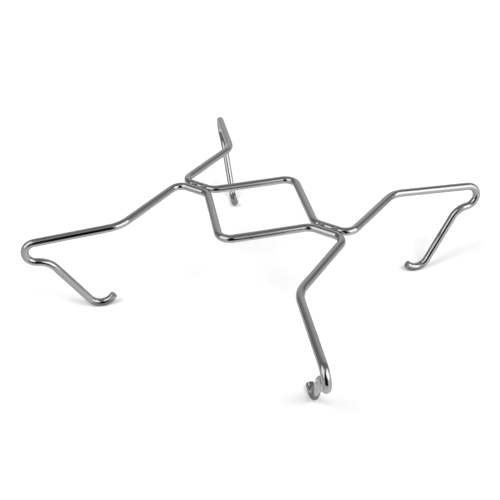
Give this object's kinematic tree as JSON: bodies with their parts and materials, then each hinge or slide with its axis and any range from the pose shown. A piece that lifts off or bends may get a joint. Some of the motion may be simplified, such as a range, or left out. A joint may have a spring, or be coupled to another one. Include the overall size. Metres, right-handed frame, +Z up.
{
  "type": "bent rod support stand",
  "caption": "Low free-standing stand of bent round steel rods, with a square middle, looped arms and slanted legs that end in curled hooks.",
  "frame": {"origin": "on the floor under the middle of the square", "axes": "+X out along the right arm, +Y along the back arm, +Z up"},
  "size_m": [0.3882, 0.3882, 0.0816],
  "materials": {
    "drawn_rod": "bright drawn stainless rod, fine lines along its length",
    "weld_metal": "shiny, slightly darkened weld metal"
  },
  "bodies": {
    "root": {"rod_front_left": "drawn_rod", "rod_back_right": "drawn_rod", "weld_back_left_inner": "weld_metal", "weld_back_left_outer": "weld_metal", "weld_front_right_inner": "weld_metal", "weld_front_right_outer": "weld_metal"}
  },
  "joints": []
}
